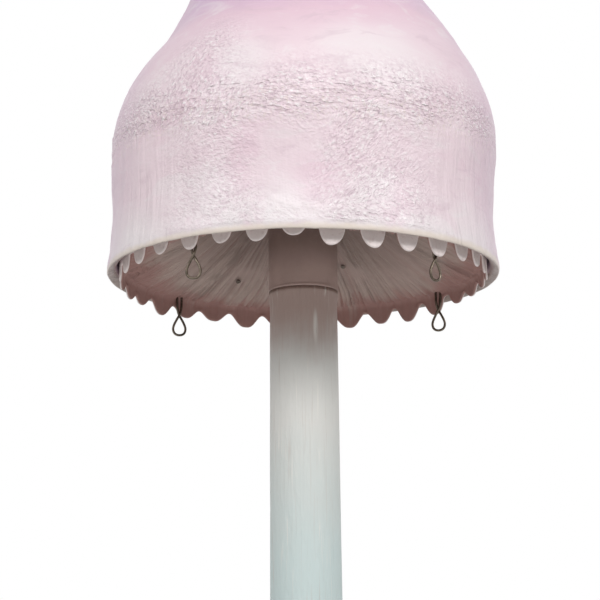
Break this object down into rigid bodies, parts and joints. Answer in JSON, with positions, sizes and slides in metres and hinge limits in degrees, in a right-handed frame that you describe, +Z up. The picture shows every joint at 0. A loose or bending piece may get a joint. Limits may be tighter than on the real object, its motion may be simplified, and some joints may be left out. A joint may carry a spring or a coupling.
{
  "type": "mushroom floor lamp",
  "caption": "Mushroom floor lamp: bell-shaped cap with rolled lip, scalloped skirt and radial gills on a tapered round stem; the cap lifts off for the bulb.",
  "frame": {"origin": "centre of the foot on the floor", "axes": "+Z up along the stem, -Y towards the front"},
  "size_m": [0.511, 0.511, 1.525],
  "materials": {
    "cap_lacquer": "pearly lacquer over a crinkled laminate, pale pink",
    "gill_paint": "matt paint, mushroom brown-pink",
    "eye_wire": "dull bent wire",
    "zinc": "zinc plated",
    "plywood": "bare plywood",
    "stem_paint": "hand-brushed, off-white turning pale aqua",
    "foot_paint": "hand-brushed, pale aqua",
    "spigot_steel": "turned",
    "brass": "turned",
    "holder_plastic": "moulded white",
    "holder_ceramic": "glazed",
    "bulb_metal": "rolled thread",
    "bulb_plastic": "moulded white",
    "bulb_diffuser": "frosted",
    "plate_paint": "powder coat",
    "rubber": "matt",
    "gland_plastic": "moulded light grey",
    "lead_sheath": "extruded sheath"
  },
  "bodies": {
    "root": {"stem_tube": "stem_paint", "stem_screws": "zinc", "stem_spigot": "spigot_steel", "index_pin": "spigot_steel", "lamp_bracket": "zinc", "retaining_ring": "spigot_steel", "threaded_nipple": "brass", "nipple_nuts": "brass", "holder_cup": "holder_plastic", "holder_insert": "holder_ceramic", "holder_contact": "brass", "holder_screw_shell": "brass", "holder_skirt": "holder_plastic", "bulb_screw_cap": "bulb_metal", "bulb_body": "bulb_plastic", "bulb_globe": "bulb_diffuser", "base_plate": "plate_paint", "foot_pads": "rubber", "socket_screws": "zinc", "foot_screws": "zinc", "base_socket": "plate_paint", "foot_shell": "foot_paint", "gland_body": "gland_plastic", "gland_seal": "rubber", "gland_locknut": "gland_plastic", "gland_dome_nut": "gland_plastic", "terminal_block": "holder_ceramic", "block_screw": "zinc", "internal_lead": "lead_sheath", "lead_grommet": "rubber"},
    "cap": {"cap_shell": "cap_lacquer", "gill_panel": "gill_paint", "collar_sleeve": "gill_paint", "collar_screws": "zinc", "stiffening_ring": "plywood", "gill_screws": "zinc", "eye_front_left": "eye_wire", "eye_front_right": "eye_wire", "eye_rear_right": "eye_wire", "eye_rear_left": "eye_wire"}
  },
  "joints": [
    {"name": "cap_lift", "type": "slide", "parent": "root", "child": "cap", "axis": [0, 0, 1], "range_m": [0, 0.32]}
  ]
}
